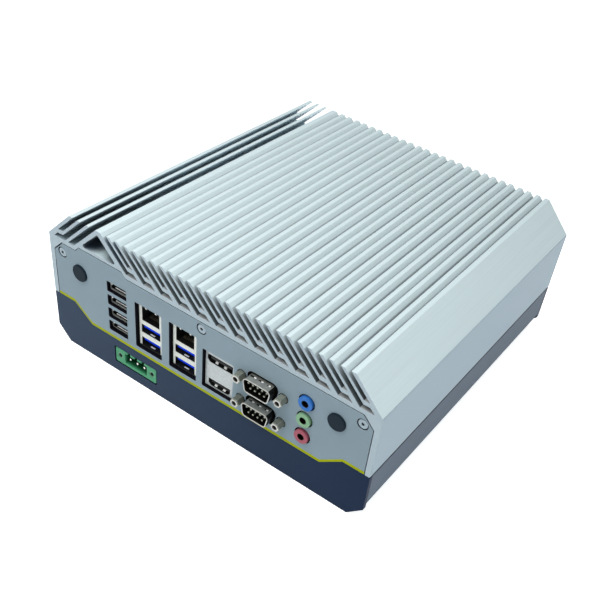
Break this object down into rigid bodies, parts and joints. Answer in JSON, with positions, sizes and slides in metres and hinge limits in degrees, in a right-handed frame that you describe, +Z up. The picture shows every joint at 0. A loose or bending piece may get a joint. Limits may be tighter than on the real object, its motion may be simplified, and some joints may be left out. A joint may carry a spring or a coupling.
{
  "type": "fanless industrial computer",
  "caption": "Compact fanless computer: finned aluminium cover over a folded tray, end plates, and a row of sockets along the front.",
  "frame": {"origin": "middle of the flat underside", "axes": "+X to the right along the front, +Y from the socket side to the rear, +Z up"},
  "size_m": [0.208, 0.212, 0.086],
  "materials": {
    "anodised_aluminium": "satin anodised",
    "bare_aluminium": "milled",
    "black_plastic": "matt",
    "blue_plastic": "satin",
    "board_laminate": "solder mask",
    "brass": "machined",
    "can_metal": "satin nickel plate",
    "chip_metal": "satin",
    "contact_gold": "bright",
    "contact_tin": "bright",
    "green_plastic": "satin",
    "light_blue_plastic": "satin",
    "light_green_plastic": "satin",
    "pad_rubber": "soft",
    "pink_plastic": "satin",
    "plate_paint": "satin powder coat in silver grey and navy",
    "plug_rubber": "matt",
    "screw_steel": "satin",
    "tray_paint": "satin powder coat"
  },
  "bodies": {
    "root": {"antenna_plugs": "plug_rubber", "audio_housing": "black_plastic", "audio_ring_blue": "light_blue_plastic", "audio_ring_green": "light_green_plastic", "audio_ring_pink": "pink_plastic", "base_tray": "tray_paint", "board_link": "black_plastic", "board_posts": "brass", "board_screws": "screw_steel", "cell_holder": "black_plastic", "clock_cell": "chip_metal", "display_stack_shell": "can_metal", "display_tongues": "black_plastic", "drive_module": "board_laminate", "drive_rest": "screw_steel", "drive_socket": "black_plastic", "fast_usb_tongues": "blue_plastic", "front_plate": "plate_paint", "front_screws": "screw_steel", "heat_block": "bare_aluminium", "heatsink_shell": "anodised_aluminium", "lan_contact_carriers": "black_plastic", "lan_stack_shells": "can_metal", "mainboard": "board_laminate", "memory_module": "board_laminate", "memory_socket": "black_plastic", "mount_nuts": "screw_steel", "plate_nuts": "screw_steel", "processor": "chip_metal", "rear_plate": "plate_paint", "rear_screws": "screw_steel", "serial_insulators": "black_plastic", "serial_jack_screws": "screw_steel", "serial_pins": "contact_gold", "serial_shells": "can_metal", "supply_board": "board_laminate", "supply_board_posts": "screw_steel", "supply_ear_nuts": "screw_steel", "supply_header": "green_plastic", "supply_pins": "contact_tin", "thermal_pads": "pad_rubber", "usb_stack_shell": "can_metal", "usb_tongues": "black_plastic"}
  },
  "joints": []
}
